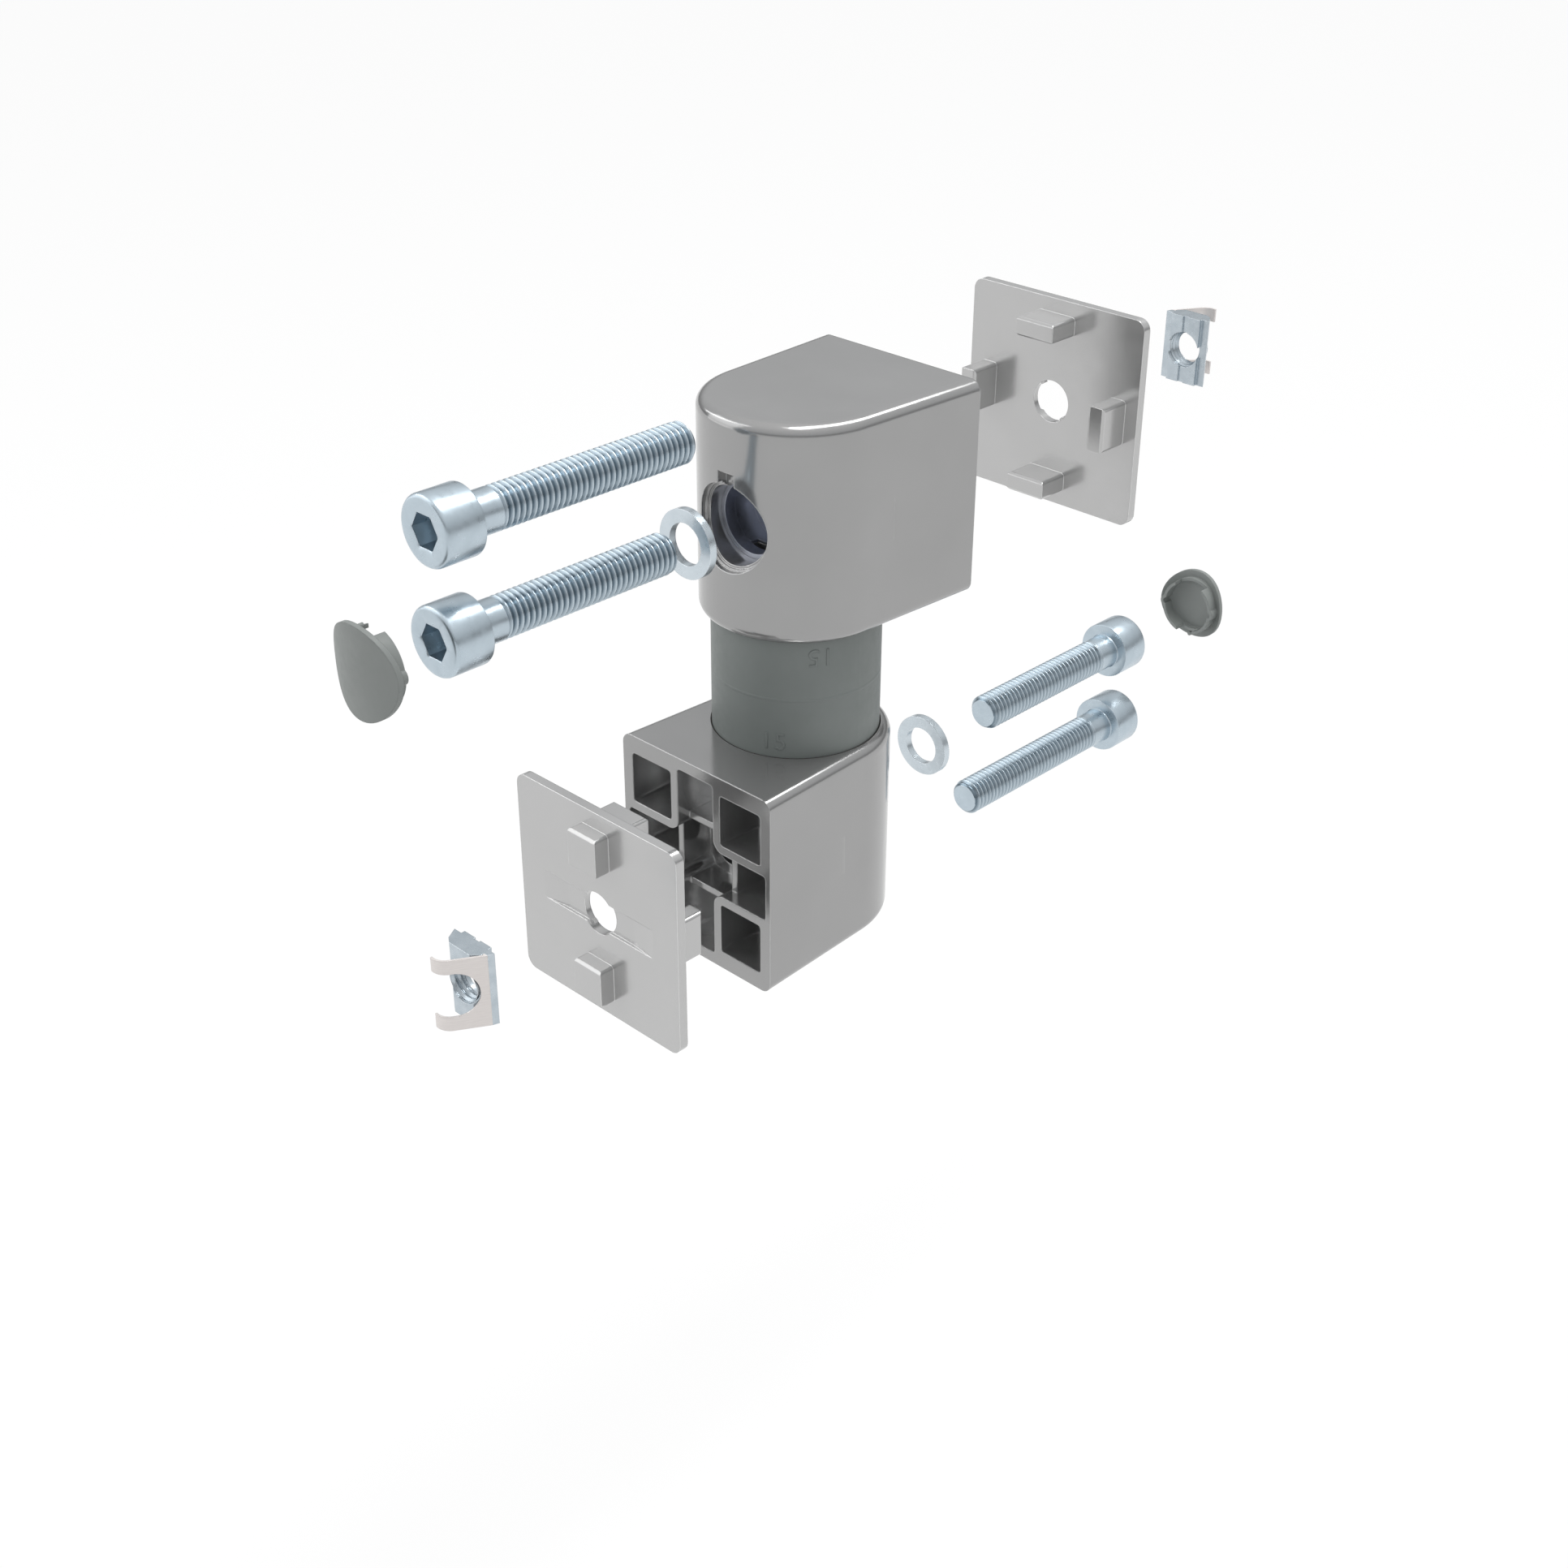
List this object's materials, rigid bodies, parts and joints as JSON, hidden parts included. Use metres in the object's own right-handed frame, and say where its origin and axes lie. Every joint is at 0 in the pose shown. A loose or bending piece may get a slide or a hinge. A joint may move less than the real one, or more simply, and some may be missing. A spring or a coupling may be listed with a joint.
{
  "type": "friction joint",
  "caption": "Friction swivel joint for square slotted profiles, taken apart along its screw axes: cast housings on a clamped core, cover plates, screws, caps and slot nuts.",
  "frame": {"origin": "centre of the lower plate's profile side, on the lower screw axis, where a profile carries the joint", "axes": "+Z along the swivel axis, up; +Y from the lower plate towards the upper plate, along the screws; +X across the profile"},
  "size_m": [0.045, 0.2474, 0.1222],
  "materials": {
    "die_cast": "satin, tumbled die casting",
    "plate_die_cast": "fine matt, blasted",
    "core_plastic": "moulded, low sheen",
    "cap_plastic": "moulded, low sheen",
    "zinc_steel": "bright zinc plating, bluish",
    "screw_steel": "bright zinc plating, bluish",
    "inner_steel": "plain, turned",
    "leaf_steel": "rolled spring strip",
    "friction_lining": "pressed lining"
  },
  "bodies": {
    "lower_plate": {"lower_plate": "plate_die_cast"},
    "lower_housing": {"lower_housing": "die_cast", "lower_seat_sleeve": "inner_steel", "lower_spare_screw": "screw_steel"},
    "lower_core": {"lower_core_half": "core_plastic", "pivot_bolt": "zinc_steel", "friction_disc": "friction_lining", "thrust_washer": "inner_steel", "disc_springs": "inner_steel", "lock_nut": "zinc_steel"},
    "upper_core": {"upper_core_half": "core_plastic"},
    "upper_housing": {"upper_housing": "die_cast", "upper_seat_sleeve": "inner_steel", "upper_spare_screw": "screw_steel"},
    "upper_plate": {"upper_plate": "plate_die_cast"},
    "upper_nut": {"upper_slot_nut": "zinc_steel", "upper_nut_spring": "leaf_steel"},
    "lower_nut": {"lower_slot_nut": "zinc_steel", "lower_nut_spring": "leaf_steel"},
    "upper_washer": {"upper_washer": "zinc_steel"},
    "upper_screw": {"upper_screw": "screw_steel"},
    "upper_cap": {"upper_cap": "cap_plastic"},
    "lower_washer": {"lower_washer": "zinc_steel"},
    "lower_screw": {"lower_screw": "screw_steel"},
    "lower_cap": {"lower_cap": "cap_plastic"}
  },
  "joints": [
    {"name": "lower_housing_seat", "type": "slide", "parent": "lower_plate", "child": "lower_housing", "axis": [0, -1, 0], "range_m": [0, 0.0241]},
    {"name": "core_seat", "type": "slide", "parent": "lower_housing", "child": "lower_core", "axis": [0, 0, -1], "range_m": [0, 0.0119]},
    {"name": "swivel", "type": "hinge", "parent": "lower_core", "child": "upper_core", "pos_m": [0, 0.0545, 0.0346], "axis": [0, 0, 1], "continuous": true},
    {"name": "upper_housing_seat", "type": "slide", "parent": "upper_core", "child": "upper_housing", "axis": [0, 0, -1], "range_m": [0, 0.0119]},
    {"name": "upper_washer_seat", "type": "slide", "parent": "upper_housing", "child": "upper_washer", "axis": [0, 1, 0], "range_m": [0, 0.0236]},
    {"name": "upper_screw_seat", "type": "slide", "parent": "upper_washer", "child": "upper_screw", "axis": [0, 1, 0], "range_m": [0, 0.0498]},
    {"name": "upper_cap_seat", "type": "slide", "parent": "upper_screw", "child": "upper_cap", "axis": [0, 1, 0], "range_m": [0, 0.0106]},
    {"name": "upper_plate_seat", "type": "slide", "parent": "upper_housing", "child": "upper_plate", "axis": [0, -1, 0], "range_m": [0, 0.0499]},
    {"name": "upper_nut_seat", "type": "slide", "parent": "upper_plate", "child": "upper_nut", "axis": [0, -1, 0], "range_m": [0, 0.043]},
    {"name": "lower_washer_seat", "type": "slide", "parent": "lower_housing", "child": "lower_washer", "axis": [0, -1, 0], "range_m": [0, 0.0352]},
    {"name": "lower_screw_seat", "type": "slide", "parent": "lower_washer", "child": "lower_screw", "axis": [0, -1, 0], "range_m": [0, 0.0645]},
    {"name": "lower_cap_seat", "type": "slide", "parent": "lower_screw", "child": "lower_cap", "axis": [0, -1, 0], "range_m": [0, 0.0253]},
    {"name": "lower_nut_seat", "type": "slide", "parent": "lower_plate", "child": "lower_nut", "axis": [0, 1, 0], "range_m": [0, 0.0253]}
  ]
}
